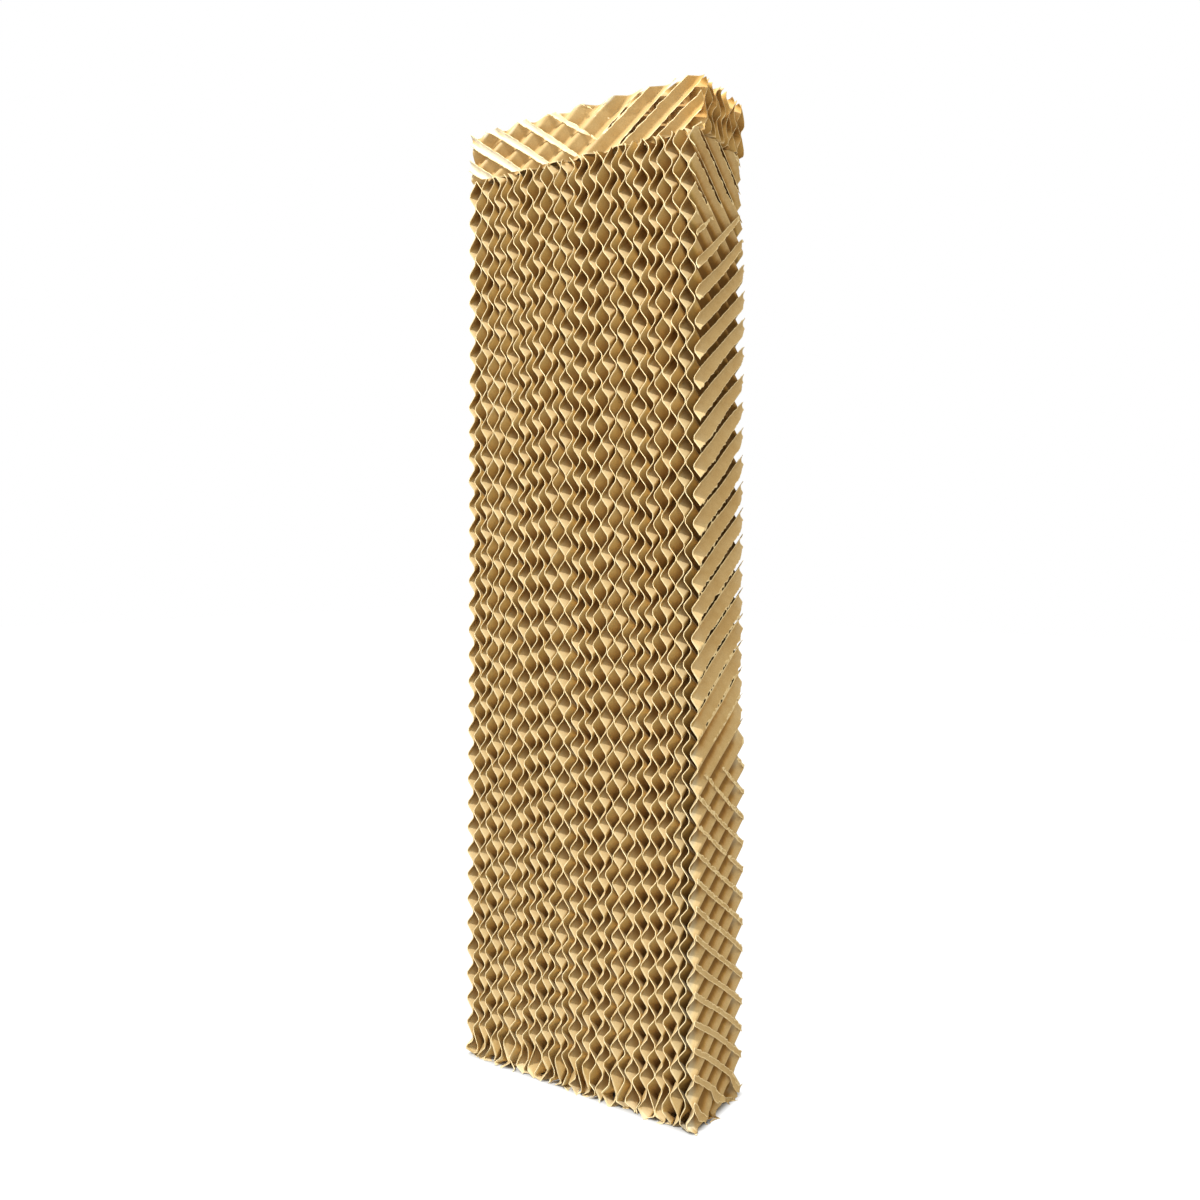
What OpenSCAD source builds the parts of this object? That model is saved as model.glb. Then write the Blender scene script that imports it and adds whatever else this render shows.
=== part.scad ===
// Evaporative cooling pad: fluted paper sheets glued crest to crest, under a sawn slab of the same
// pad that spreads the water. Width runs along X, depth along Y, height along Z. The origin is at the
// middle of the foot.

/* [Pad] */
// Sheets that are whole from the foot of the pad to its top
sheet_count = 32; // [8:1:36]
// Depth from the face where the air enters to the face where it leaves
pad_depth = 80; // [50:1:150]
// Height of the pad under its top slab
pad_height = 770; // [560:1:900]

/* [Fluting] */
// Spacing of the sheets, which is the height of their flutes
flute_height = 7; // [5:0.1:9]
// Length of one wave, square to the flutes
wave_length = 18; // [14:0.1:22]
// Radius of the crests, in the middle of the paper
crest_radius = 3.2; // [2.4:0.1:3.4]
// Turn of the faint crease where a crest runs out into its straight flanks
crease = 8; // [5:0.5:12]
// Slope of the flutes, up on one sheet and down on the next
flute_angle = 35; // [25:1:45]
// Thickness of the stiffened paper
paper = 0.4; // [0.3:0.01:0.6]
// Glue line between two crests that are bonded
glue_line = 0.12; // [0.05:0.01:0.3]

/* [Top slab] */
// Height of the slab that spreads the water
slab_height = 40; // [25:1:60]
// Paper left outside the first whole sheet of the slab, at the left end of its sawn face
slab_cut_left = 3; // [1:0.1:5]
// Paper sawn off the first whole sheet of the slab, at the right end of its sawn face
slab_cut_right = 2.2; // [0.6:0.1:3]

/* [Sawn side] */
// Depth that the saw takes off the last whole sheet, at the top of the pad
saw_bite = 0.8; // [0.6:0.05:1]
// Drop from the top to where that depth has gone down to three quarters
saw_bite_drop = 48; // [10:1:54]
// Drop from the top to where the saw leaves the last whole sheet
saw_exit_drop = 60; // [56:1:90]
// Drop from the top to where the saw is half way through the next sheet
saw_middle_drop = 120; // [110:1:170]
// Drop from the top to where the saw nears the far crests of the next sheet
saw_crest_drop = 205; // [190:1:260]
// Distance of the saw from those crests there
saw_crest_gap = 1.2; // [0.8:0.1:2]
// Drop from the top to where strips of one more sheet begin
strip_drop = 490; // [400:1:520]
// Thickness of those strips where they begin
strip_start = 0.3; // [0.2:0.01:0.5]
// Thickness of those strips at the foot
strip_foot = 1.1; // [0.8:0.1:3]

/* [Hidden] */
$fn = 48;
paper_colour = "#CBA468";
slab_colour = "#C39C62";
// The golden ratio spreads the waves of the sheets without repeating
golden = (1 + sqrt(5)) / 2;
// Room past a face for what is cut along it
margin = 5;

// The middle of the paper rises this far above and below the middle of the flute
wave_rise = (flute_height - glue_line - paper) / 2;
half_wave = wave_length / 2;
flank_middle = half_wave / 2;
crest_centre = wave_rise - crest_radius;
// The straight flanks run past the middle of a crest at this distance, and at this angle
flank_distance = crest_radius * cos(crease);
flank_angle = atan2(crest_centre, flank_middle) + asin(flank_distance / norm([flank_middle, crest_centre]));
// The flanks of one side of the paper would meet in sharp points this far from the middle
sharp_rise = flank_middle * tan(flank_angle);
side_lift = paper / 2 / cos(flank_angle);

// Two more sheets stand outside the whole ones, cut to strips by the saw
pad_sheets = sheet_count + 2;
whole_width = sheet_count * flute_height;
saw_crest_run = flute_height - saw_crest_gap;
strip_run = flute_height + strip_start;
foot_run = flute_height + strip_foot;
foot_width = whole_width + foot_run;
left = -foot_width / 2;
saw_line = left + whole_width;

// The slab is built from its back face forward, with one more sheet cut to strips at its front
slab_whole_sheets = round(pad_depth / flute_height);
slab_sheets = slab_whole_sheets + 1;
slab_front = pad_depth / 2 - slab_whole_sheets * flute_height;
slab_bottom = pad_height + glue_line;

function two_digits(n) = str(n < 10 ? "0" : "", n);
function pad_name(n) = str("pad_sheet_", two_digits(n));
function slab_name(n) = str("slab_sheet_", two_digits(n));
// Part of a wave by which the flutes of sheet n are shifted
function wave_shift(n) = golden * n * (n + 1) / 2 - floor(golden * n * (n + 1) / 2);

// What lies between a sharp point of the flanks and the round of the crest, on one side of the paper
module point(side) {
  level = (flank_distance + side) * cos(flank_angle);
  translate([0, crest_centre])
    difference() {
      translate([-flank_middle, level]) square([half_wave, flute_height]);
      circle(crest_radius + side);
    }
}

// All that lies under the top side of the paper: a zigzag, with its crests and its valleys rounded
module under_top(waves) {
  difference() {
    union() {
      polygon([
        [-waves * wave_length, -2 * flute_height],
        [waves * wave_length, -2 * flute_height],
        for (k = [2 * waves : -1 : -2 * waves])
          [k * half_wave, (k % 2 == 0 ? sharp_rise : -sharp_rise) + side_lift]
      ]);
      for (k = [-waves : waves - 1])
        translate([k * wave_length + half_wave, 0]) rotate(180) point(-paper / 2);
    }
    for (k = [-waves : waves])
      translate([k * wave_length, 0]) point(paper / 2);
  }
}

// The section of a fluted sheet: its underside is its top side turned over, half a wave on
module flutes(waves) {
  intersection() {
    under_top(waves);
    translate([half_wave, 0]) rotate(180) under_top(waves);
  }
}

// A fluted sheet in the YZ plane, larger than run by rise, its flutes climbing to the back at a slope
module fluted_sheet(run, rise, slope, shift) {
  across = rise * cos(slope) + run * abs(sin(slope));
  along = run * cos(slope) + rise * abs(sin(slope));
  waves = ceil(across / 2 / wave_length) + 2;
  rotate([slope, 0, 0])
    rotate([-90, -90, 0])
      translate([shift * wave_length, 0, 0])
        linear_extrude(along + margin, center = true) flutes(waves);
}

// What the saw leaves of the pad: square, but for the right side, where the cut runs out as it goes down
module pad_block() {
  rotate([90, 0, 0])
    linear_extrude(pad_depth, center = true)
      polygon([
        [left - margin, 0],
        [saw_line + foot_run, 0],
        [saw_line + strip_run, pad_height - strip_drop],
        [saw_line + saw_crest_run, pad_height - saw_crest_drop],
        [saw_line + flute_height / 2, pad_height - saw_middle_drop],
        [saw_line, pad_height - saw_exit_drop],
        [saw_line - 0.75 * saw_bite, pad_height - saw_bite_drop],
        [saw_line - saw_bite, pad_height],
        [left - margin, pad_height]
      ]);
}

// What the saw leaves of the slab: square, but for the front, where the cut runs in from left to right
module slab_block() {
  translate([0, 0, slab_bottom])
    linear_extrude(slab_height)
      polygon([
        [left, slab_front - slab_cut_left],
        [saw_line, slab_front + slab_cut_right],
        [saw_line, pad_depth / 2 + margin],
        [left, pad_depth / 2 + margin]
      ]);
}

// The part of the block below where the outermost strips begin
module strip_block() {
  translate([saw_line, -pad_depth, -margin])
    cube([2 * flute_height, 2 * pad_depth, pad_height - strip_drop + margin]);
}

// One sheet of the pad: flutes climb to the back on odd sheets and fall on even ones
module pad_sheet(n) {
  slope = n % 2 == 1 ? flute_angle : -flute_angle;
  color(paper_colour)
    intersection() {
      translate([left + (n - 0.5) * flute_height, 0, pad_height / 2])
        fluted_sheet(pad_depth, pad_height, slope, wave_shift(n));
      pad_block();
      if (n == pad_sheets) strip_block();
    }
}

// One sheet of the slab, turned square to the pad's: flutes climb to the right on even sheets
module slab_sheet(n) {
  slope = n % 2 == 0 ? flute_angle : -flute_angle;
  color(slab_colour)
    intersection() {
      translate([(left + saw_line) / 2, slab_front + (n - 1.5) * flute_height, slab_bottom + slab_height / 2])
        rotate([0, 0, -90])
          fluted_sheet(whole_width, slab_height, slope, wave_shift(n));
      slab_block();
    }
}

for (n = [1 : pad_sheets])
  pad_sheet(n);
for (n = [1 : slab_sheets])
  slab_sheet(n);
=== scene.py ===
"""The looks of an evaporative cooling pad, laid out as an add-on and run as a script.

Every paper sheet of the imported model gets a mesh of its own: a grid whose columns follow the flutes,
waved, given the thickness of the paper, and then sawn and worn where the real pad was.
"""
import math

import bmesh
import bpy
from bpy.props import FloatProperty, FloatVectorProperty, PointerProperty
from mathutils import Matrix, Vector, noise


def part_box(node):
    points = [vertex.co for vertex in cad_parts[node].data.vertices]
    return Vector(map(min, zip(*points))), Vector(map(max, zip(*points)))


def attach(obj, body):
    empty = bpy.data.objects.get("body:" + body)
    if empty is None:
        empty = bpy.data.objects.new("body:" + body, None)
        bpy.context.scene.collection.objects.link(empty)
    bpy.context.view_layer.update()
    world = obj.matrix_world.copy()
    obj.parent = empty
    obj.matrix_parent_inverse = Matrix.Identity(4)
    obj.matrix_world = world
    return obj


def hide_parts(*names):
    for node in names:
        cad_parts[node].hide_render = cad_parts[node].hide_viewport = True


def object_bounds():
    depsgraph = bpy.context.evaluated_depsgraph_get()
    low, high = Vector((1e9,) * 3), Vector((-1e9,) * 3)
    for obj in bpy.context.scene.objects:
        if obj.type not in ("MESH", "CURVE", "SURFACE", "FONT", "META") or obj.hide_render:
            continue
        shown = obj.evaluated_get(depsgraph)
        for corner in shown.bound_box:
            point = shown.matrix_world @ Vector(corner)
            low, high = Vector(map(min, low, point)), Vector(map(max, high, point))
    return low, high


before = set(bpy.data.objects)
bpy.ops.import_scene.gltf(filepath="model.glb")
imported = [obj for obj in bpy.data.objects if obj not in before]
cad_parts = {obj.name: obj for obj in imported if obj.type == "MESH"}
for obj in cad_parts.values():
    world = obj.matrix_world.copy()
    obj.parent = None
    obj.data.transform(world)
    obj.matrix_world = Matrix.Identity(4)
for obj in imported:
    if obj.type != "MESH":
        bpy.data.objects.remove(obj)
cad_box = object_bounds()

bl_info = {
    "name": "Evaporative Cooling Pad",
    "version": (1, 0, 0),
    "blender": (4, 5, 0),
    "location": "View3D > Sidebar > Cooling Pad",
    "description": "Dresses the solids of a fluted paper cooling pad in sheets of stiffened kraft paper",
    "category": "Mesh",
}

MM = 0.001

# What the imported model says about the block
PAD_NODES = sorted(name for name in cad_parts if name.startswith("pad_sheet"))
SLAB_NODES = sorted(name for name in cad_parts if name.startswith("slab_sheet"))
PAD_LOW, PAD_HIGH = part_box(PAD_NODES[0])
SLAB_LOW, SLAB_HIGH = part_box(SLAB_NODES[-1])
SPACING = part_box(PAD_NODES[1])[0].x - PAD_LOW.x
LEFT = SLAB_LOW.x
SAW_LINE = SLAB_HIGH.x
PAD_DEPTH = PAD_HIGH.y - PAD_LOW.y
PAD_HEIGHT = PAD_HIGH.z
SLAB_HEIGHT = SLAB_HIGH.z - SLAB_LOW.z
# The sheets are counted from the left and from the slab's front, and these are the first and last whole ones
LAST_WHOLE_PAD_SHEET = len(PAD_NODES) - 2
FIRST_WHOLE_SLAB_SHEET = 2
SLAB_FRONT = (SLAB_LOW.y + SLAB_HIGH.y - SPACING) / 2 - (len(SLAB_NODES) - FIRST_WHOLE_SLAB_SHEET) * SPACING

# Slots of a sheet's mesh
PAPER = 0
CUT = 1

# Attribute of a sheet's points: how open they are to a sawn face, from which the paper's material paints
# light near that face and shade in the recesses behind it
OPENNESS = "openness"

GOLDEN = (1 + math.sqrt(5)) / 2

# Start of the noise that crumples the slab, fixed so that every run gives the same shape
CRUMPLE_SEED = 1795816700
# Step in the noise from one sheet to the next, and the sizes of its bumps, in metres
SHEET_STEP = 0.031
SLACK_BUMP = 0.035
STRAY_BUMP = 0.06
DRIFT_BUMP = 0.22
SWAY_BUMP = 0.12
SWAY_DEPTH_BUMP = 0.09
CRUMPLE_BUMP = 0.013
SQUASH_BUMP = 0.018
PUSH_BUMP = 0.013
PUSH_DEPTH_BUMP = 0.014
FOLD_BUMP = 0.006
LIFT_BUMP = 0.008
SAW_BUMP = 0.007
TEAR_BUMP = 0.003
FIBRE_BUMP = 0.0017
END_BUMP = 0.008
FOOT_BUMP = 0.006
STRIP_BUMP = 0.02
FRAY_BUMP = 2.2 * MM

# How uneven the cuts are at the foot, at the top, at the slab's ends and where the strips begin
FOOT_CUT = 0.25 * MM
TOP_CUT = 0.7 * MM
END_CUT = 0.8 * MM
STRIP_CUT = 6 * MM
# Depth of the frayed edge
FRAY_REACH = 1.5 * MM
# Stops of a sheet's grid between its middle and its face, as shares of half the depth
DEPTH_STOPS = (0.6, 0.88)
# Share of the saw's bite that is left where it begins to run out
BITE_LEFT = 0.85
# Length of the worn back corner, and how far above the slits the back begins to wear
CORNER_REACH = 10 * MM
WEAR_START = 50 * MM
# Reach of the light into a sawn sheet, what is added above the strips, and the height over which it is
OPEN_REACH = 3.6 * MM
OPEN_REACH_ABOVE = 6 * MM
OPEN_RISE = 0.12
# Half the blend at the pad's outline on the floor, over which the floor's glow fades out as painted contact
# shade, and the share of the floor's own light that is seen
FLOOR_BLEND = 4 * MM
FLOOR_GLOW = 0.85

# Share of the drift that the sheets by the saw have
SAWN_DRIFT = 0.35
# Vertices closer to a face than this lie on its cut edge
EDGE_ROOM = 0.2 * MM
# Longest step along a sawn sheet of the pad, and the number of steps up a sheet of the slab
SAWN_STEP = 1.3 * MM
SLAB_STEPS = 10
SAWN_SLAB_STEPS = 24


def srgb(code):
    """A colour written as a hex code, in the linear values that shaders use."""
    parts = [int(code[i:i + 2], 16) / 255 for i in (1, 3, 5)]
    return tuple(c / 12.92 if c <= 0.04045 else ((c + 0.055) / 1.055) ** 2.4 for c in parts)


def length(name, default_mm, description):
    """A property for a length, given in millimetres."""
    return FloatProperty(
        name=name, description=description, default=default_mm * MM, unit="LENGTH", precision=5, min=0.0
    )


def angle(name, default_degrees, description):
    """A property for an angle, given in degrees."""
    return FloatProperty(
        name=name, description=description, default=math.radians(default_degrees), subtype="ANGLE"
    )


def colour(name, code, description):
    """A property for a colour, given as a hex code."""
    return FloatVectorProperty(
        name=name, description=description, default=srgb(code), subtype="COLOR", min=0.0, max=1.0
    )


class FluteSettings(bpy.types.PropertyGroup):
    """Sizes of the fluting, and how far the paper strays from them or is worn."""

    wave_length: length("Wave length", 18, "Length of one wave, square to the flutes")
    flute_angle: angle("Flute angle", 35, "Slope of the flutes, up on one sheet and down on the next")
    crest_radius: length("Crest radius", 3.2, "Radius of the crests, in the middle of the paper")
    crease: angle("Crease", 8, "Turn where a crest runs out into its straight flanks")
    crest_rise: length("Crest rise", 3.24, "Height of a crest above the middle of its sheet")
    paper: length("Paper", 0.42, "Thickness of the stiffened paper")
    burr: length("Burr", 0.12, "Thickness that the saw's burr adds to a cut edge")
    burr_depth: length("Burr depth", 0.8, "Depth of the burr, from the cut edge inwards")
    stray: length("Stray", 2.0, "How far a flute strays up or down along its sheet")
    drift: length("Drift", 8.0, "How far the flutes of a sheet drift, all together, over its height")
    sway: length("Sway", 0.9, "How far the sheets of the block sway together")
    slack: FloatProperty(
        name="Slack",
        description="Share of its height that a flute loses at most",
        default=0.1,
        min=0.0,
        max=0.5,
    )
    fray: length("Fray", 0.45, "How far the cut edges are ragged")
    crush: length("Crush", 5.5, "How far the crushed foot is pushed about")
    squash: length("Squash", 9, "How far the crushed foot is squashed down")
    crush_height: length("Crush height", 24, "Height over which the foot is crushed")
    crumple: length("Crumple", 1.6, "How far the top and the ends of the slab are crumpled")
    crumple_reach: length("Crumple reach", 14, "Distance from the slab's edges over which it is crumpled")


class SawSettings(bpy.types.PropertyGroup):
    """Where the saw ran through the outer sheets, measured as on the solids."""

    bite: length("Bite", 1.2, "Depth that the saw takes off the last whole sheet at the top")
    bite_drop: length("Bite drop", 58, "Drop to where that depth begins to run out")
    exit_drop: length("Exit drop", 72, "Drop from the top to where the saw leaves the last whole sheet")
    middle_drop: length("Middle drop", 120, "Drop to where the saw is half way through the next sheet")
    crest_drop: length("Crest drop", 205, "Drop to where the saw nears the far crests of the next sheet")
    crest_gap: length("Crest gap", 1.2, "Distance of the saw from those crests there")
    slit_drop: length("Slit drop", 440, "Drop to where the last of those crests are slit open")
    slit_gap: length("Slit gap", 0.64, "Distance of the saw from those crests there")
    strip_drop: length("Strip drop", 490, "Drop to where strips of one more sheet begin")
    strip_start: length("Strip start", 0.3, "Thickness of those strips where they begin")
    strip_foot: length("Strip foot", 1.1, "Thickness of those strips at the foot")
    slab_left: length("Slab left", 3.0, "Paper left outside the first whole slab sheet at the left")
    slab_right: length("Slab right", 2.2, "Paper sawn off the first whole slab sheet at the right")
    wobble: length("Wobble", 0.45, "How far the saw wobbles from its line")
    back_wear: length("Back wear", 2.2, "How much deeper the saw ran at the back, above the strips")
    corner_wear: length("Corner wear", 2.2, "How far the sawn strips are worn down at the back corner")
    lean: FloatProperty(
        name="Lean", description="How steeply the saw's marks climb to the back, at the top", default=0.4
    )


class PaperSettings(bpy.types.PropertyGroup):
    """Colours of the paper and of its cut edges, among them a shaded and a lit copy of the paper and the
    colours of painted highlights.
    """

    # Painted shade: the paper inside the block is a darker, redder copy of the paper by the open faces,
    # standing in for the shade in the cells. Both copies are mottled with resin between their two tones.
    shaded_pale: colour("Light deep paper", "#CA9945", "Paper deep inside, where it is palest")
    shaded_dark: colour("Dark deep paper", "#A6732A", "Paper deep inside, where it has taken more resin")
    # Painted light: the lit, paler copy of the paper, laid on the paper near the open faces.
    light: colour("Light paper", "#D5B46C", "Paper that is open to the light, where it is palest")
    dark: colour("Dark paper", "#C5A04E", "Paper that is open to the light, where it has taken more resin")
    # Painted light: a sawn sheet's paper takes this paler tone near its sawn face, as the lit copy of the
    # paper there.
    sawn_light: colour("Light sawn paper", "#CDB07A", "Paper of a sawn sheet, where it is palest")
    sawn_dark: colour("Dark sawn paper", "#BF9D62", "Paper of a sawn sheet, where it is darkest")
    # Painted shade: the recesses behind a sawn face are painted this dark colour.
    recess_shade: colour("Recess", "#6A4A10", "Paper in the recesses of a sheet that is sawn open")
    fibre: colour("Fibre", "#8E6029", "Dark fibres in the paper")
    # Painted highlight: a pale colour laid on paper that faces up near the open faces, where the light from
    # above falls.
    bloom: colour("Bloom", "#F1E9CC", "Pale dust on paper that faces up, near the open faces")
    # Painted highlight: the outermost strips on the slab's sawn front are painted near white, where the light
    # from above falls on them.
    front_highlight: colour("Scuff", "#E2D6BE", "Paper scuffed white on the sawn front of the slab")
    edge: colour("Cut edge", "#F2E2B8", "Cut edge of the paper")
    # Real wear and soil on the cut edges, and also painted shade on cut edges that face sideways.
    worn_and_shaded_edge: colour("Worn edge", "#D8B97F", "Cut edge where it is worn or soiled")


class StageSettings(bpy.types.PropertyGroup):
    """Camera, light and floor."""

    camera_place: FloatVectorProperty(
        name="Camera place",
        description="Where the camera stands",
        default=(0.49535, -0.73597, 0.44489),
        subtype="TRANSLATION",
        unit="LENGTH",
    )
    yaw: angle("Yaw", 34.11, "Turn of the camera to the left of straight ahead")
    pitch: angle("Pitch", 2.27, "How far the camera looks down")
    roll: angle("Roll", 0.47, "Turn of the camera about its own line of sight")
    lens: FloatProperty(name="Lens", description="Focal length on a 36 mm sensor, in mm", default=31.335)
    key: FloatProperty(
        name="Key light", description="Power of the soft light above", default=242.0, unit="POWER"
    )
    key_place: FloatVectorProperty(
        name="Key place",
        description="Where the soft light above hangs",
        default=(-0.25, -2.55, 3.85),
        subtype="TRANSLATION",
        unit="LENGTH",
    )
    key_size: FloatProperty(
        name="Key size", description="Width of the soft light", default=0.45, unit="LENGTH"
    )
    sky: FloatProperty(name="Sky", description="Strength of the light from overhead", default=1.1)
    ground: FloatProperty(name="Ground", description="Strength of the light from below", default=0.05)
    side: FloatProperty(name="Side", description="Strength of the light from the right", default=0.36)
    front: FloatProperty(name="Front", description="Strength of the light from the front", default=0.62)
    floor_size: FloatProperty(
        name="Floor size", description="Width of the floor", default=12.0, unit="LENGTH"
    )


class Wave:
    """The section of a fluted sheet: round crests joined by straight flanks."""

    def __init__(self, flutes):
        self.length = flutes.wave_length
        self.rise = flutes.crest_rise
        self.radius = flutes.crest_radius
        quarter = self.length / 4
        self.centre = self.rise - self.radius
        distance = self.radius * math.cos(flutes.crease)
        flank = math.atan2(self.centre, quarter) + math.asin(distance / math.hypot(quarter, self.centre))
        self.slope = math.tan(flank)
        self.crest_edge = self.radius * math.sin(flank - flutes.crease)

    def height(self, across):
        """Height of the paper above the middle of the sheet, at a distance across the flutes from a crest."""
        half = self.length / 2
        off_crest = abs((across + half) % self.length - half)
        sign = 1 if off_crest < half / 2 else -1
        near = off_crest if sign > 0 else half - off_crest
        if near < self.crest_edge:
            return sign * (self.centre + math.sqrt(self.radius ** 2 - near ** 2))
        return sign * (half / 2 - near) * self.slope

    def columns(self, reach):
        """Distances across the flutes that a grid needs to follow the wave for a reach to both sides."""
        half = self.length / 2
        edges = [0, self.crest_edge / 2, self.crest_edge, half - self.crest_edge, half - self.crest_edge / 2]
        stops = [stop + turn for turn in (0, half) for stop in edges]
        waves = math.ceil(reach / self.length) + 1
        return [k * self.length + stop for k in range(-waves, waves) for stop in stops]


def wave_shift(number):
    """Part of a wave by which the flutes of a sheet are shifted, as in the solids."""
    return (GOLDEN * number * (number + 1) / 2) % 1


def ease(start, end, value):
    """0 before start, 1 after end, and smooth between them."""
    t = min(max((value - start) / (end - start), 0), 1)
    return t * t * (3 - 2 * t)


def between(points, at):
    """Value at a place along a line of (place, value) points, given in rising order."""
    for (a, low), (b, high) in zip(points, points[1:]):
        if at <= b:
            return low + (high - low) * (at - a) / (b - a)
    return points[-1][1]


def ripple(place, size, seed=0.0):
    """Smooth noise from -1 to 1 whose bumps are about as long as size."""
    return noise.noise(Vector((place[0], place[1], place[2])) / size + Vector((seed, -seed, seed * 0.7)))


def fluted_grid(columns, rows, place):
    """A grid with a column for each stop across the flutes and a row for each stop along them."""
    bm = bmesh.new()
    across, along = len(columns) - 1, len(rows) - 1
    bmesh.ops.create_grid(bm, x_segments=across, y_segments=along, size=1)
    for vert in bm.verts:
        column = columns[round((vert.co.x + 1) / 2 * across)]
        row = rows[round((vert.co.y + 1) / 2 * along)]
        vert.co = place(column, row)
    bm.normal_update()
    return bm


def thicken(bm, thickness, burr, is_edge):
    """Gives a sheet its thickness on both sides of where it lies, with a burr along its ragged edges."""
    for vert in bm.verts:
        vert.co += vert.normal * (thickness / 2)
    bmesh.ops.solidify(bm, geom=bm.faces[:], thickness=thickness)
    rims = [face for face in bm.faces if all(is_edge(vert.co) for vert in face.verts)]
    short = {edge for face in rims for edge in face.edges if edge.calc_length() < 2 * thickness}
    for edge in short:
        low, high = edge.verts
        step = (high.co - low.co).normalized() * (burr / 2)
        low.co -= step
        high.co += step
    for face in rims:
        face.material_index = CUT


def saw(bm, axis, line, keep):
    """Saws a sheet along a line across an axis, and keeps the lower side (-1) or the upper one (1).

    The line gives the saw's place on the axis for any point, whatever the point's own place on it.
    """
    for vert in bm.verts:
        vert.co[axis] -= line(vert.co)
    towards = Vector((0, 0, 0))
    towards[axis] = -keep
    cut = bmesh.ops.bisect_plane(
        bm,
        geom=bm.verts[:] + bm.edges[:] + bm.faces[:],
        plane_co=(0, 0, 0),
        plane_no=towards,
        clear_outer=True,
    )
    edges = [part for part in cut["geom_cut"] if isinstance(part, bmesh.types.BMEdge)]
    if edges:
        filled = bmesh.ops.triangle_fill(bm, edges=edges, normal=towards, use_beauty=True)
        for part in filled["geom"]:
            if isinstance(part, bmesh.types.BMFace):
                part.material_index = CUT
    for vert in bm.verts:
        vert.co[axis] += line(vert.co)


def mark_open(bm, behind, reach):
    """Marks how open a sheet is to a sawn face, for the painted light near that face and the painted shade
    behind it.

    The mark is 1 on the face, 0 at a reach behind it and -1 at twice that reach.
    """
    layer = bm.verts.layers.float.new(OPENNESS)
    for vert in bm.verts:
        vert[layer] = 1 - min(max(behind(vert.co) / reach(vert.co), 0), 2)


def finish_sheet(bm, name, node, materials):
    """Turns a sheet's bmesh into a piece that stands for its node."""
    for face in bm.faces:
        face.smooth = face.material_index == PAPER
    for edge in bm.edges:
        edge.smooth = len({face.material_index for face in edge.link_faces}) == 1
    mesh = bpy.data.meshes.new(name)
    bm.to_mesh(mesh)
    bm.free()
    for material in materials:
        mesh.materials.append(material)
    piece = bpy.data.objects.new(name, mesh)
    bpy.context.scene.collection.objects.link(piece)
    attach(piece, "root")
    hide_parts(node)
    return piece


def wear(bm, flutes):
    """Sways the block, crushes its foot, crumples the slab's edges and frays the cut faces."""
    noise.seed_set(CRUMPLE_SEED)
    reach = flutes.crumple_reach
    for vert in bm.verts:
        place = vert.co.copy()
        near_top = ease(SLAB_HIGH.z - reach, SLAB_HIGH.z, place.z)
        near_end = ease(-reach, 0, max(LEFT - place.x, place.x - SAW_LINE)) if place.z > PAD_HEIGHT else 0
        crumple = noise.noise_vector(place / CRUMPLE_BUMP) * flutes.crumple * max(near_top, near_end)
        near_foot = max(0, 1 - place.z / flutes.crush_height)
        dent = 0.6 + ripple((place.x, place.y, 0), SQUASH_BUMP, 5.9)
        squash = flutes.squash * dent * 4 * near_foot * (1 - near_foot)
        sway = Vector((ripple(place, SWAY_BUMP, 3.1), ripple(place, SWAY_DEPTH_BUMP, 8.7) * 0.4, 0))
        sway *= flutes.sway
        push = Vector((ripple(place, PUSH_BUMP, 2.3), ripple(place, PUSH_DEPTH_BUMP, 7.9), 0))
        push += 0.8 * Vector((ripple(place, FOLD_BUMP, 4.4), ripple(place, FOLD_BUMP, 6.2), 0))
        crush = push * (flutes.crush * near_foot)
        crush.z = 0.4 * flutes.crush * near_foot * abs(ripple(place, LIFT_BUMP, 9.5)) - squash
        face_edge = ease(PAD_DEPTH / 2 - FRAY_REACH, PAD_DEPTH / 2, abs(place.y))
        fray = Vector((0, ripple(place, FRAY_BUMP, 5.3) * flutes.fray * face_edge, 0))
        vert.co = place + sway * ease(0, 0.1, place.z) + crush + crumple + fray
        vert.co.z = max(vert.co.z, 0)


def depth_rows(flutes, finest):
    """Stops from the front face to the back one, close at the faces and no further apart than finest."""
    half = PAD_DEPTH / 2
    stops = [0, *(half * share for share in DEPTH_STOPS), half - flutes.burr_depth, half]
    rows = sorted({-stop for stop in stops} | set(stops))
    dense = [rows[0]]
    for stop in rows[1:]:
        steps = max(1, math.ceil((stop - dense[-1]) / finest))
        start = dense[-1]
        dense += [start + (stop - start) * step / steps for step in range(1, steps + 1)]
    return dense


def saw_wobble(saws, place):
    """How far the saw is off its line at a place: long wobbles, short tears and torn fibres."""
    tears = ripple(place, SAW_BUMP) + ripple(place, TEAR_BUMP, 4.0) + ripple(place, FIBRE_BUMP, 6.0)
    return saws.wobble * tears


def saw_run(saws):
    """The saw's line down the right side, as (height, distance past the last whole sheet) points."""
    return [
        (0, SPACING + saws.strip_foot),
        (PAD_HEIGHT - saws.strip_drop, SPACING + saws.strip_start),
        (PAD_HEIGHT - saws.slit_drop, SPACING - saws.slit_gap),
        (PAD_HEIGHT - saws.crest_drop, SPACING - saws.crest_gap),
        (PAD_HEIGHT - saws.middle_drop, SPACING / 2),
        (PAD_HEIGHT - saws.exit_drop, 0),
        (PAD_HEIGHT - saws.bite_drop, -BITE_LEFT * saws.bite),
        (PAD_HEIGHT, -saws.bite),
    ]


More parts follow.
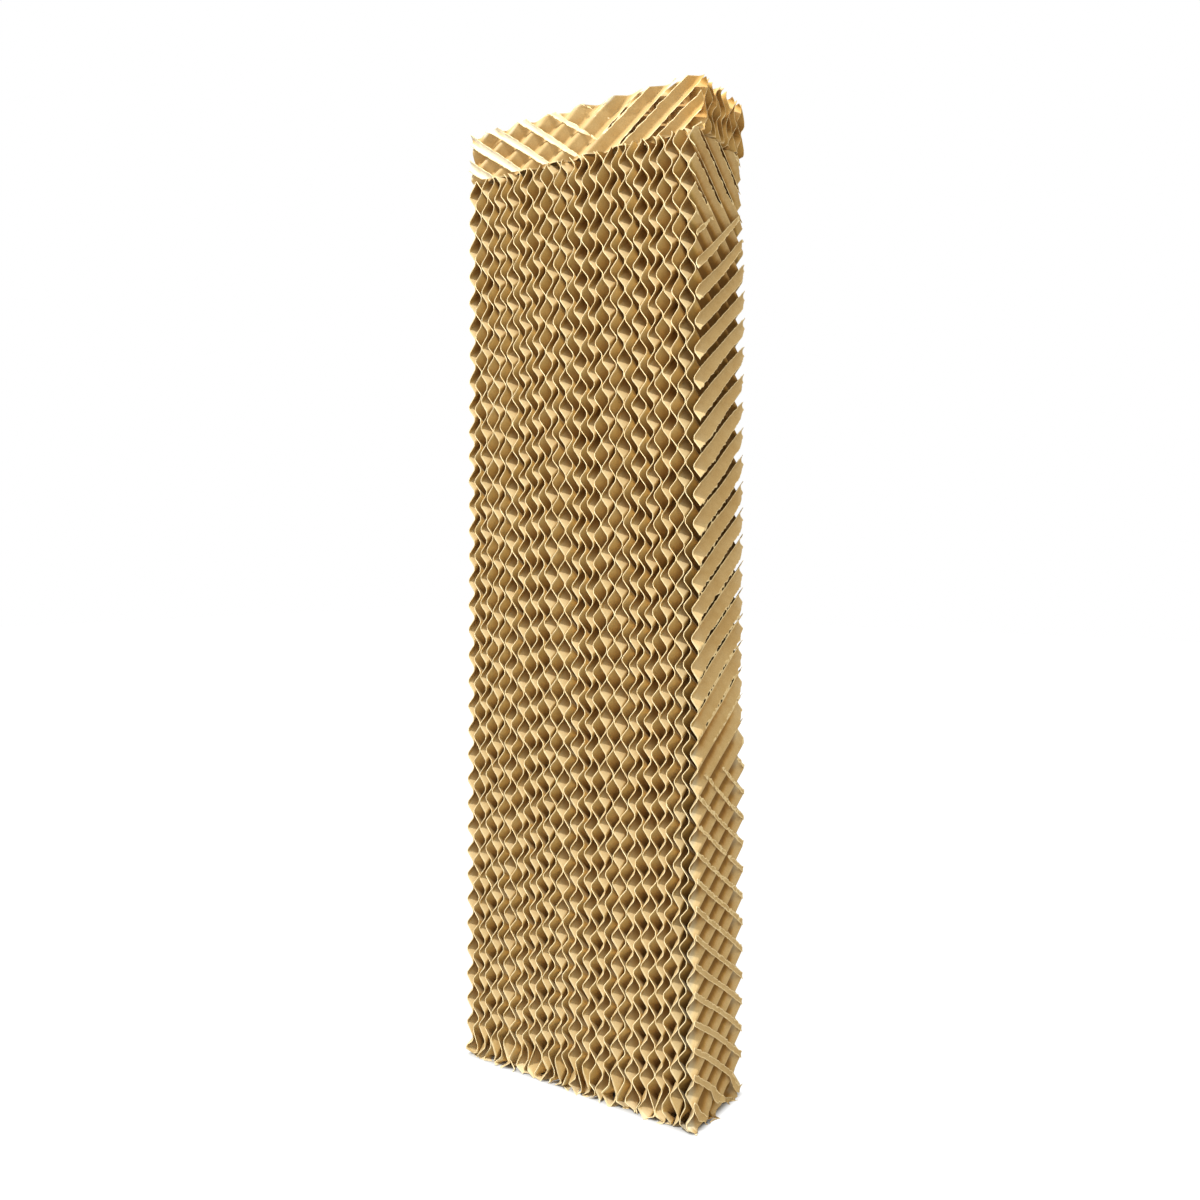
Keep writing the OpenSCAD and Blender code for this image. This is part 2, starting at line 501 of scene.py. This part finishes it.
def side_line(saws):
    """A function for where the saw ran on X, at any point of the right side."""
    run = saw_run(saws)
    strips, slits = PAD_HEIGHT - saws.strip_drop, PAD_HEIGHT - saws.slit_drop
    crests, middle = PAD_HEIGHT - saws.crest_drop, PAD_HEIGHT - saws.middle_drop

    def line(co):
        at_top = ease(crests, middle, co.z)
        climb = saws.lean * at_top * (co.y + PAD_DEPTH / 2)
        at_back = ease(-PAD_DEPTH / 4, PAD_DEPTH / 2, co.y)
        at_corner = ease(PAD_DEPTH / 2 - CORNER_REACH, PAD_DEPTH / 2, co.y)
        worn = saws.back_wear * at_back * ease(slits, crests, co.z - WEAR_START) * (1 - at_top)
        worn += saws.corner_wear * at_corner * ease(strips, slits, co.z)
        return SAW_LINE + between(run, co.z - climb) - worn + saw_wobble(saws, (0, co.y, co.z))

    return line


def pad_sheet(number, settings, materials):
    """One sheet of the pad, from the front face to the back one."""
    flutes, saws = settings.flutes, settings.saws
    wave = Wave(flutes)
    slope = flutes.flute_angle if number % 2 == 1 else -flutes.flute_angle
    middle = LEFT + (number - 0.5) * SPACING
    shift = wave_shift(number) * wave.length
    sawn = number >= LAST_WHOLE_PAD_SHEET
    drift = flutes.drift * (SAWN_DRIFT if sawn else 1)
    span = PAD_HEIGHT / 2 * math.cos(slope) + PAD_DEPTH / 2 * abs(math.sin(slope)) + wave.length

    def place(across, depth):
        height = PAD_HEIGHT / 2 + (across + shift + math.sin(slope) * depth) / math.cos(slope)
        spot = Vector((number * SHEET_STEP, depth, height))
        rise = wave.height(across) * (1 - flutes.slack * max(0, ripple(spot, SLACK_BUMP, number)))
        stray = flutes.stray * ripple(spot, STRAY_BUMP, number * 1.7)
        stray += drift * ripple(spot, DRIFT_BUMP, number * 3.9)
        return Vector((middle + rise, depth, height + stray))

    rows = depth_rows(flutes, SAWN_STEP if sawn else PAD_DEPTH)
    bm = fluted_grid(wave.columns(span), rows, place)
    thicken(bm, flutes.paper, flutes.burr, lambda co: abs(co.y) > PAD_DEPTH / 2 - EDGE_ROOM)
    saw(bm, 2, lambda co: FOOT_CUT * (1 + ripple((co.x, co.y, 0), FOOT_BUMP)), 1)
    saw(bm, 2, lambda co: PAD_HEIGHT - TOP_CUT * (1 + ripple((co.x, co.y, 0), SAW_BUMP)), -1)
    if sawn:
        line = side_line(saws)
        saw(bm, 0, line, -1)
        strips = PAD_HEIGHT - saws.strip_drop
        outer = number > LAST_WHOLE_PAD_SHEET
        reach_up = OPEN_REACH_ABOVE if outer else 0
        mark_open(
            bm,
            lambda co: line(co) - co.x,
            lambda co: OPEN_REACH + reach_up * ease(strips, strips + OPEN_RISE, co.z),
        )
    if number == len(PAD_NODES):
        saw(bm, 2, lambda co: PAD_HEIGHT - saws.strip_drop + STRIP_CUT * ripple((0, co.y, 0), STRIP_BUMP), -1)
    wear(bm, flutes)
    node = PAD_NODES[number - 1]
    return finish_sheet(bm, node.replace("sheet", "paper"), node, materials)


def slab_sheet(number, settings, materials):
    """One sheet of the slab on top, across the width of the pad."""
    flutes, saws = settings.flutes, settings.saws
    wave = Wave(flutes)
    slope = flutes.flute_angle if number % 2 == 0 else -flutes.flute_angle
    middle = SLAB_FRONT + (number - 1.5) * SPACING
    centre = (LEFT + SAW_LINE) / 2
    level = (SLAB_LOW.z + SLAB_HIGH.z) / 2
    shift = wave_shift(number) * wave.length
    sawn = number <= FIRST_WHOLE_SLAB_SHEET
    width = SAW_LINE - LEFT
    span = SLAB_HEIGHT / 2 * math.cos(slope) + width / 2 * abs(math.sin(slope)) + wave.length

    def place(across, height):
        along = centre + (math.cos(slope) * (height - level) - across - shift) / math.sin(slope)
        spot = Vector((along, number * SHEET_STEP, height))
        rise = wave.height(across) * (1 - flutes.slack * max(0, ripple(spot, SLACK_BUMP, number)))
        stray = flutes.stray * ripple(spot, STRAY_BUMP, number * 2.3)
        return Vector((along + stray, middle - rise, height))

    steps = SAWN_SLAB_STEPS if sawn else SLAB_STEPS
    rows = [SLAB_LOW.z + SLAB_HEIGHT * step / steps for step in range(steps + 1)]
    bm = fluted_grid(wave.columns(span), rows, place)
    thicken(bm, flutes.paper, flutes.burr, lambda co: abs(co.z - level) > SLAB_HEIGHT / 2 - EDGE_ROOM)
    saw(bm, 0, lambda co: LEFT + END_CUT * ripple((0, co.y, co.z), END_BUMP), 1)
    saw(bm, 0, lambda co: SAW_LINE + END_CUT * ripple((0, co.y, co.z), END_BUMP), -1)
    if sawn:
        run = [(LEFT, SLAB_FRONT - saws.slab_left), (SAW_LINE, SLAB_FRONT + saws.slab_right)]
        saw(bm, 1, lambda co: between(run, co.x) + saw_wobble(saws, (co.x, 0, co.z)), 1)
        mark_open(bm, lambda co: co.y - between(run, co.x) - SPACING / 2, lambda co: SPACING)
    wear(bm, flutes)
    node = SLAB_NODES[number - 1]
    return finish_sheet(bm, node.replace("sheet", "paper"), node, materials)


class Wire:
    """A value in a material. Arithmetic on it adds Math nodes."""

    def __init__(self, paint, socket):
        self.paint = paint
        self.socket = socket

    def math(self, operation, first, second):
        """A Math node on two values or wires."""
        return self.paint.node("ShaderNodeMath", {"operation": operation}, {0: first, 1: second})

    def __add__(self, other):
        return self.math("ADD", self, other)

    def __radd__(self, other):
        return self.math("ADD", other, self)

    def __sub__(self, other):
        return self.math("SUBTRACT", self, other)

    def __rsub__(self, other):
        return self.math("SUBTRACT", other, self)

    def __mul__(self, other):
        return self.math("MULTIPLY", self, other)

    def __rmul__(self, other):
        return self.math("MULTIPLY", other, self)

    def __abs__(self):
        return self.paint.node("ShaderNodeMath", {"operation": "ABSOLUTE"}, {0: self})


class Paint:
    """The nodes of one material."""

    def __init__(self, owner):
        owner.use_nodes = True
        self.tree = owner.node_tree
        self.tree.nodes.clear()

    def node(self, kind, settings=None, sockets=None, output=0):
        """Adds a node: its settings first, then the values or wires of its sockets. Returns one output."""
        made = self.tree.nodes.new(kind)
        for name, value in (settings or {}).items():
            if name == "stops":
                self.set_stops(made.color_ramp, value)
            else:
                setattr(made, name, value)
        for name, value in (sockets or {}).items():
            if isinstance(value, Wire):
                self.tree.links.new(value.socket, made.inputs[name])
            else:
                made.inputs[name].default_value = value
        return Wire(self, made.outputs[output]) if made.outputs else made

    @staticmethod
    def set_stops(ramp, stops):
        """Sets a ramp's stops, given as (place, grey) pairs."""
        while len(ramp.elements) < len(stops):
            ramp.elements.new(0.5)
        for element, (place, grey) in zip(ramp.elements, stops):
            element.position = place
            element.color = (grey, grey, grey, 1)

    def axis(self, vector, name):
        """One axis of a vector."""
        return self.node("ShaderNodeSeparateXYZ", None, {"Vector": vector}, output=name)

    def noise(self, place, size, detail=2.0, roughness=0.5):
        """Noise from 0 to 1 whose bumps are about as long as size."""
        sockets = {"Vector": place, "Scale": 1 / size, "Detail": detail, "Roughness": roughness}
        return self.node("ShaderNodeTexNoise", None, sockets)

    def ramp(self, value, *stops):
        """A value put through a ramp of greys."""
        return self.node("ShaderNodeValToRGB", {"stops": stops}, {"Fac": value})

    def mix(self, share, first, second):
        """A blend of two colours."""
        settings = {"data_type": "RGBA"}
        return self.node("ShaderNodeMix", settings, {0: share, 6: first, 7: second}, output=2)

    def between(self, value, start, end):
        """0 at start, 1 at end and smooth between them."""
        sockets = {"Value": value, "From Min": start, "From Max": end}
        return self.node("ShaderNodeMapRange", {"interpolation_type": "SMOOTHSTEP"}, sockets)

    def surface(self, **sockets):
        """Ends the material in a shader."""
        names = {name.replace("_", " ").title(): value for name, value in sockets.items()}
        shader = self.node("ShaderNodeBsdfPrincipled", None, names)
        self.node("ShaderNodeOutputMaterial", None, {"Surface": shader})


def opaque(rgb):
    """A colour property as the four values that a colour socket takes."""
    return (*rgb, 1.0)


def paper_material(name, papers, edge_axis, edge_middle, edge_reach, sawn_front=None):
    """Stiffened kraft paper: mottled with resin, flecked with fibres and paler beside its cut faces. Light
    and shade are painted in: a darker copy of the paper inside the block, a paler one by the faces and sawn
    faces, painted highlights on paper that faces up, and painted shade in the recesses behind a sawn face.
    """
    material = bpy.data.materials.new(name)
    paint = Paint(material)
    place = paint.node("ShaderNodeTexCoord", output="Object")
    blotch = paint.noise(place, 0.045, 3)
    mottle = paint.noise(place, 0.009, 4, 0.6)
    fibre = paint.noise(place, 0.0009, 6, 0.7)
    fleck = paint.ramp(paint.noise(place, 0.0016, 3, 0.7), (0.27, 1), (0.36, 0))
    resin = paint.ramp(blotch * 0.5 + mottle * 0.5, (0.36, 0), (0.64, 1))
    depth = edge_reach - abs(paint.axis(place, edge_axis) - edge_middle)
    near_face = paint.between(depth, 14 * MM, 2 * MM)
    near_saw = paint.node("ShaderNodeAttribute", {"attribute_name": OPENNESS}, output="Fac")
    # Painted light and shade: a shaded copy of the paper inside the block and a lit copy by the open faces,
    # blended by the distance from the face.
    shaded = paint.mix(resin, opaque(papers.shaded_pale), opaque(papers.shaded_dark))
    lit_paper = paint.mix(resin, opaque(papers.light), opaque(papers.dark))
    sawn = paint.mix(resin, opaque(papers.sawn_light), opaque(papers.sawn_dark))
    sheet = paint.mix(near_face, shaded, lit_paper)
    # Painted light near a sawn face: the paler sawn tone.
    side_lit = paint.between(near_saw, -0.4, 0.4)
    sheet = paint.mix(side_lit, sheet, sawn)
    # Painted shade in the recesses behind a sawn face.
    sheet = paint.mix(paint.between(near_saw, 0.1, -0.6) * 0.7, sheet, opaque(papers.recess_shade))
    sheet = paint.mix(fleck * 0.5, sheet, opaque(papers.fibre))
    sheet = paint.mix(paint.ramp(fibre, (0.4, 0), (0.75, 0.35)), sheet, opaque(papers.fibre))
    normal = paint.node("ShaderNodeNewGeometry", output="Normal")
    # Painted highlight on paper that faces up near the open faces, weaker on a sawn sheet near its sawn face.
    facing_up = paint.between(paint.axis(normal, "Z"), 0.2, 0.7)
    glare = near_face * facing_up * (1 - 0.7 * side_lit)
    sheet = paint.mix(glare * 0.6, sheet, opaque(papers.bloom))
    rim = paint.between(depth, 1.3 * MM, 0.0)
    sheet = paint.mix(rim * 0.5, sheet, opaque(papers.edge))
    if sawn_front is not None:
        behind = paint.axis(place, "Y") - sawn_front
        # Painted highlight on the strips of the slab's sawn front.
        highlit = paint.between(behind, 0.5 * MM, -0.9 * MM)
        sheet = paint.mix(highlit * 0.9, sheet, opaque(papers.front_highlight))
        # Painted shade: towards its right end the slab is painted darker, in the pale tone of the shaded
        # inner paper.
        at_end = paint.between(paint.axis(place, "X"), SAW_LINE - 22 * MM, SAW_LINE - 6 * MM)
        sheet = paint.mix(at_end * 0.45, sheet, opaque(papers.shaded_pale))
    relief = fibre * 0.6 + mottle * 0.4
    bump = paint.node("ShaderNodeBump", None, {"Strength": 0.35, "Distance": 0.25 * MM, "Height": relief})
    paint.surface(base_color=sheet, roughness=0.62 + fibre * 0.3, normal=bump)
    return material


def cut_material(name, papers):
    """The cut edge of the paper: pale, fibrous and a little soiled, and darkened as painted shade where it
    faces sideways.
    """
    material = bpy.data.materials.new(name)
    paint = Paint(material)
    place = paint.node("ShaderNodeTexCoord", output="Object")
    fibre = paint.noise(place, 0.0006, 4, 0.7)
    soil = paint.noise(place, 0.006, 3, 0.6)
    worn = paint.ramp(fibre * 0.55 + soil * 0.45, (0.42, 0), (0.62, 1))
    edge = paint.mix(worn, opaque(papers.edge), opaque(papers.worn_and_shaded_edge))
    # Painted shade on cut edges that face sideways, which the light from above and in front strikes only at a
    # slant.
    normal = paint.node("ShaderNodeNewGeometry", output="Normal")
    sideways = paint.axis(normal, "X")
    edge = paint.mix(paint.between(abs(sideways), 0.5, 0.9) * 0.5, edge, opaque(papers.worn_and_shaded_edge))
    bump = paint.node("ShaderNodeBump", None, {"Strength": 0.5, "Distance": 0.3 * MM, "Height": fibre})
    paint.surface(base_color=edge, roughness=0.8 + fibre * 0.15, normal=bump)
    return material


def floor_material():
    """A white floor that shows little but the pad's shadow: its glow is withheld under the pad, where the
    real shadow shows, and faded over a border round it as painted contact shade.
    """
    material = bpy.data.materials.new("white_floor")
    paint = Paint(material)
    ray = paint.node("ShaderNodeLightPath", output="Is Camera Ray")
    place = paint.node("ShaderNodeTexCoord", output="Object")
    corner = cad_box[1]
    beside_x = paint.between(abs(paint.axis(place, "X")), corner.x - FLOOR_BLEND, corner.x + FLOOR_BLEND)
    beside_y = paint.between(abs(paint.axis(place, "Y")), corner.y - FLOOR_BLEND, corner.y + FLOOR_BLEND)
    # Painted contact shade: the floor's glow is withheld under the pad's outline and faded over a border
    # round it.
    contact_shade = (1 - beside_x) * (1 - beside_y)
    paper_white = paint.node("ShaderNodeBsdfDiffuse", None, {"Color": (0.45, 0.45, 0.45, 1)})
    glow = paint.node("ShaderNodeEmission", None, {"Strength": 1.2})
    share = ray * FLOOR_GLOW * (1 - contact_shade)
    seen = paint.node("ShaderNodeMixShader", None, {0: share, 1: paper_white, 2: glow})
    paint.node("ShaderNodeOutputMaterial", None, {"Surface": seen})
    return material


class COOLINGPAD_OT_pad_sheets(bpy.types.Operator):
    """Make the fluted sheets of the pad, and the strips that the saw left on its right side"""

    bl_idname = "cooling_pad.pad_sheets"
    bl_label = "Pad Sheets"

    def execute(self, context):
        settings = context.scene.cooling_pad
        papers = settings.papers
        materials = [
            paper_material("pad_paper", papers, "Y", 0.0, PAD_DEPTH / 2),
            cut_material("pad_cut_edge", papers),
        ]
        for number in range(1, len(PAD_NODES) + 1):
            pad_sheet(number, settings, materials)
        return {"FINISHED"}


class COOLINGPAD_OT_slab_sheets(bpy.types.Operator):
    """Make the fluted sheets of the slab on top of the pad"""

    bl_idname = "cooling_pad.slab_sheets"
    bl_label = "Slab Sheets"

    def execute(self, context):
        settings = context.scene.cooling_pad
        papers = settings.papers
        middle = (SLAB_LOW.z + SLAB_HIGH.z) / 2
        materials = [
            paper_material("slab_paper", papers, "Z", middle, SLAB_HEIGHT / 2, SLAB_FRONT),
            cut_material("slab_cut_edge", papers),
        ]
        for number in range(1, len(SLAB_NODES) + 1):
            slab_sheet(number, settings, materials)
        return {"FINISHED"}


class COOLINGPAD_OT_stage(bpy.types.Operator):
    """Set up the floor, the light and the camera"""

    bl_idname = "cooling_pad.stage"
    bl_label = "Stage"

    def execute(self, context):
        stage = context.scene.cooling_pad.stage
        context.scene.view_settings.view_transform = "Standard"
        self.add_floor(context, stage)
        self.add_light(context, stage)
        self.add_camera(context, stage)
        return {"FINISHED"}

    def add_floor(self, context, stage):
        """The floor that the pad stands on."""
        bm = bmesh.new()
        bmesh.ops.create_grid(bm, x_segments=1, y_segments=1, size=stage.floor_size / 2)
        mesh = bpy.data.meshes.new("floor")
        bm.to_mesh(mesh)
        bm.free()
        mesh.materials.append(floor_material())
        floor = bpy.data.objects.new("floor", mesh)
        context.scene.collection.objects.link(floor)

    def add_light(self, context, stage):
        """One soft light, and a surround that is white to the camera."""
        lamp = bpy.data.lights.new("soft_light", "AREA")
        lamp.energy = stage.key
        lamp.size = stage.key_size
        light = bpy.data.objects.new("soft_light", lamp)
        light.location = stage.key_place
        aim = Vector((0, 0, PAD_HEIGHT * 0.55)) - light.location
        light.rotation_euler = aim.to_track_quat("-Z", "Y").to_euler()
        context.scene.collection.objects.link(light)
        world = bpy.data.worlds.new("white_surround")
        context.scene.world = world
        paint = Paint(world)
        path = paint.node("ShaderNodeLightPath", output="Is Camera Ray")
        rays = path.socket.node.outputs
        seen = path + Wire(paint, rays["Is Glossy Ray"]) + Wire(paint, rays["Is Transmission Ray"])
        towards = paint.node("ShaderNodeTexCoord", output="Generated")
        height = paint.axis(towards, "Z")
        strength = stage.ground + paint.between(height, -0.3, 1.0) * (stage.sky - stage.ground)
        strength = strength + paint.between(paint.axis(towards, "X"), 0.1, 1.0) * stage.side
        strength = strength + paint.between(paint.axis(towards, "Y"), -0.1, -1.0) * stage.front
        fill = paint.node("ShaderNodeBackground", None, {"Strength": strength, "Color": (1, 0.98, 0.87, 1)})
        white = paint.node("ShaderNodeBackground", None, {"Strength": 1.0, "Color": (1, 1, 1, 1)})
        shown = paint.node("ShaderNodeMixShader", None, {0: seen, 1: fill, 2: white})
        paint.node("ShaderNodeOutputWorld", None, {"Surface": shown})

    def add_camera(self, context, stage):
        """The camera, at the photograph's viewing angle."""
        data = bpy.data.cameras.new("camera")
        data.lens = stage.lens
        camera = bpy.data.objects.new("camera", data)
        turn = Matrix.Rotation(stage.yaw, 4, "Z") @ Matrix.Rotation(math.pi / 2 - stage.pitch, 4, "X")
        turn = turn @ Matrix.Rotation(stage.roll, 4, "Z")
        camera.matrix_world = Matrix.Translation(stage.camera_place) @ turn
        context.scene.collection.objects.link(camera)
        context.scene.camera = camera


class PadSettings(bpy.types.PropertyGroup):
    """All that can be set on the pad."""

    flutes: PointerProperty(type=FluteSettings)
    saws: PointerProperty(type=SawSettings)
    papers: PointerProperty(type=PaperSettings)
    stage: PointerProperty(type=StageSettings)


class COOLINGPAD_PT_sidebar(bpy.types.Panel):
    """Lists the settings of the pad and the steps that make it"""

    bl_idname = "COOLINGPAD_PT_sidebar"
    bl_label = "Cooling Pad"
    bl_space_type = "VIEW_3D"
    bl_region_type = "UI"
    bl_category = "Cooling Pad"

    def draw(self, context):
        settings = context.scene.cooling_pad
        for operator in OPERATORS:
            self.layout.operator(operator.bl_idname)
        for group in (settings.flutes, settings.saws, settings.papers, settings.stage):
            box = self.layout.box()
            for name in group.__annotations__:
                box.prop(group, name)


GROUPS = (FluteSettings, SawSettings, PaperSettings, StageSettings, PadSettings)
OPERATORS = (COOLINGPAD_OT_pad_sheets, COOLINGPAD_OT_slab_sheets, COOLINGPAD_OT_stage)
CLASSES = (*GROUPS, *OPERATORS, COOLINGPAD_PT_sidebar)


def register():
    for cls in CLASSES:
        bpy.utils.register_class(cls)
    bpy.types.Scene.cooling_pad = PointerProperty(type=PadSettings)


def unregister():
    del bpy.types.Scene.cooling_pad
    for cls in reversed(CLASSES):
        bpy.utils.unregister_class(cls)


def main():
    register()
    bpy.ops.cooling_pad.stage()
    bpy.ops.cooling_pad.pad_sheets()
    bpy.ops.cooling_pad.slab_sheets()


if __name__ == "__main__":
    main()
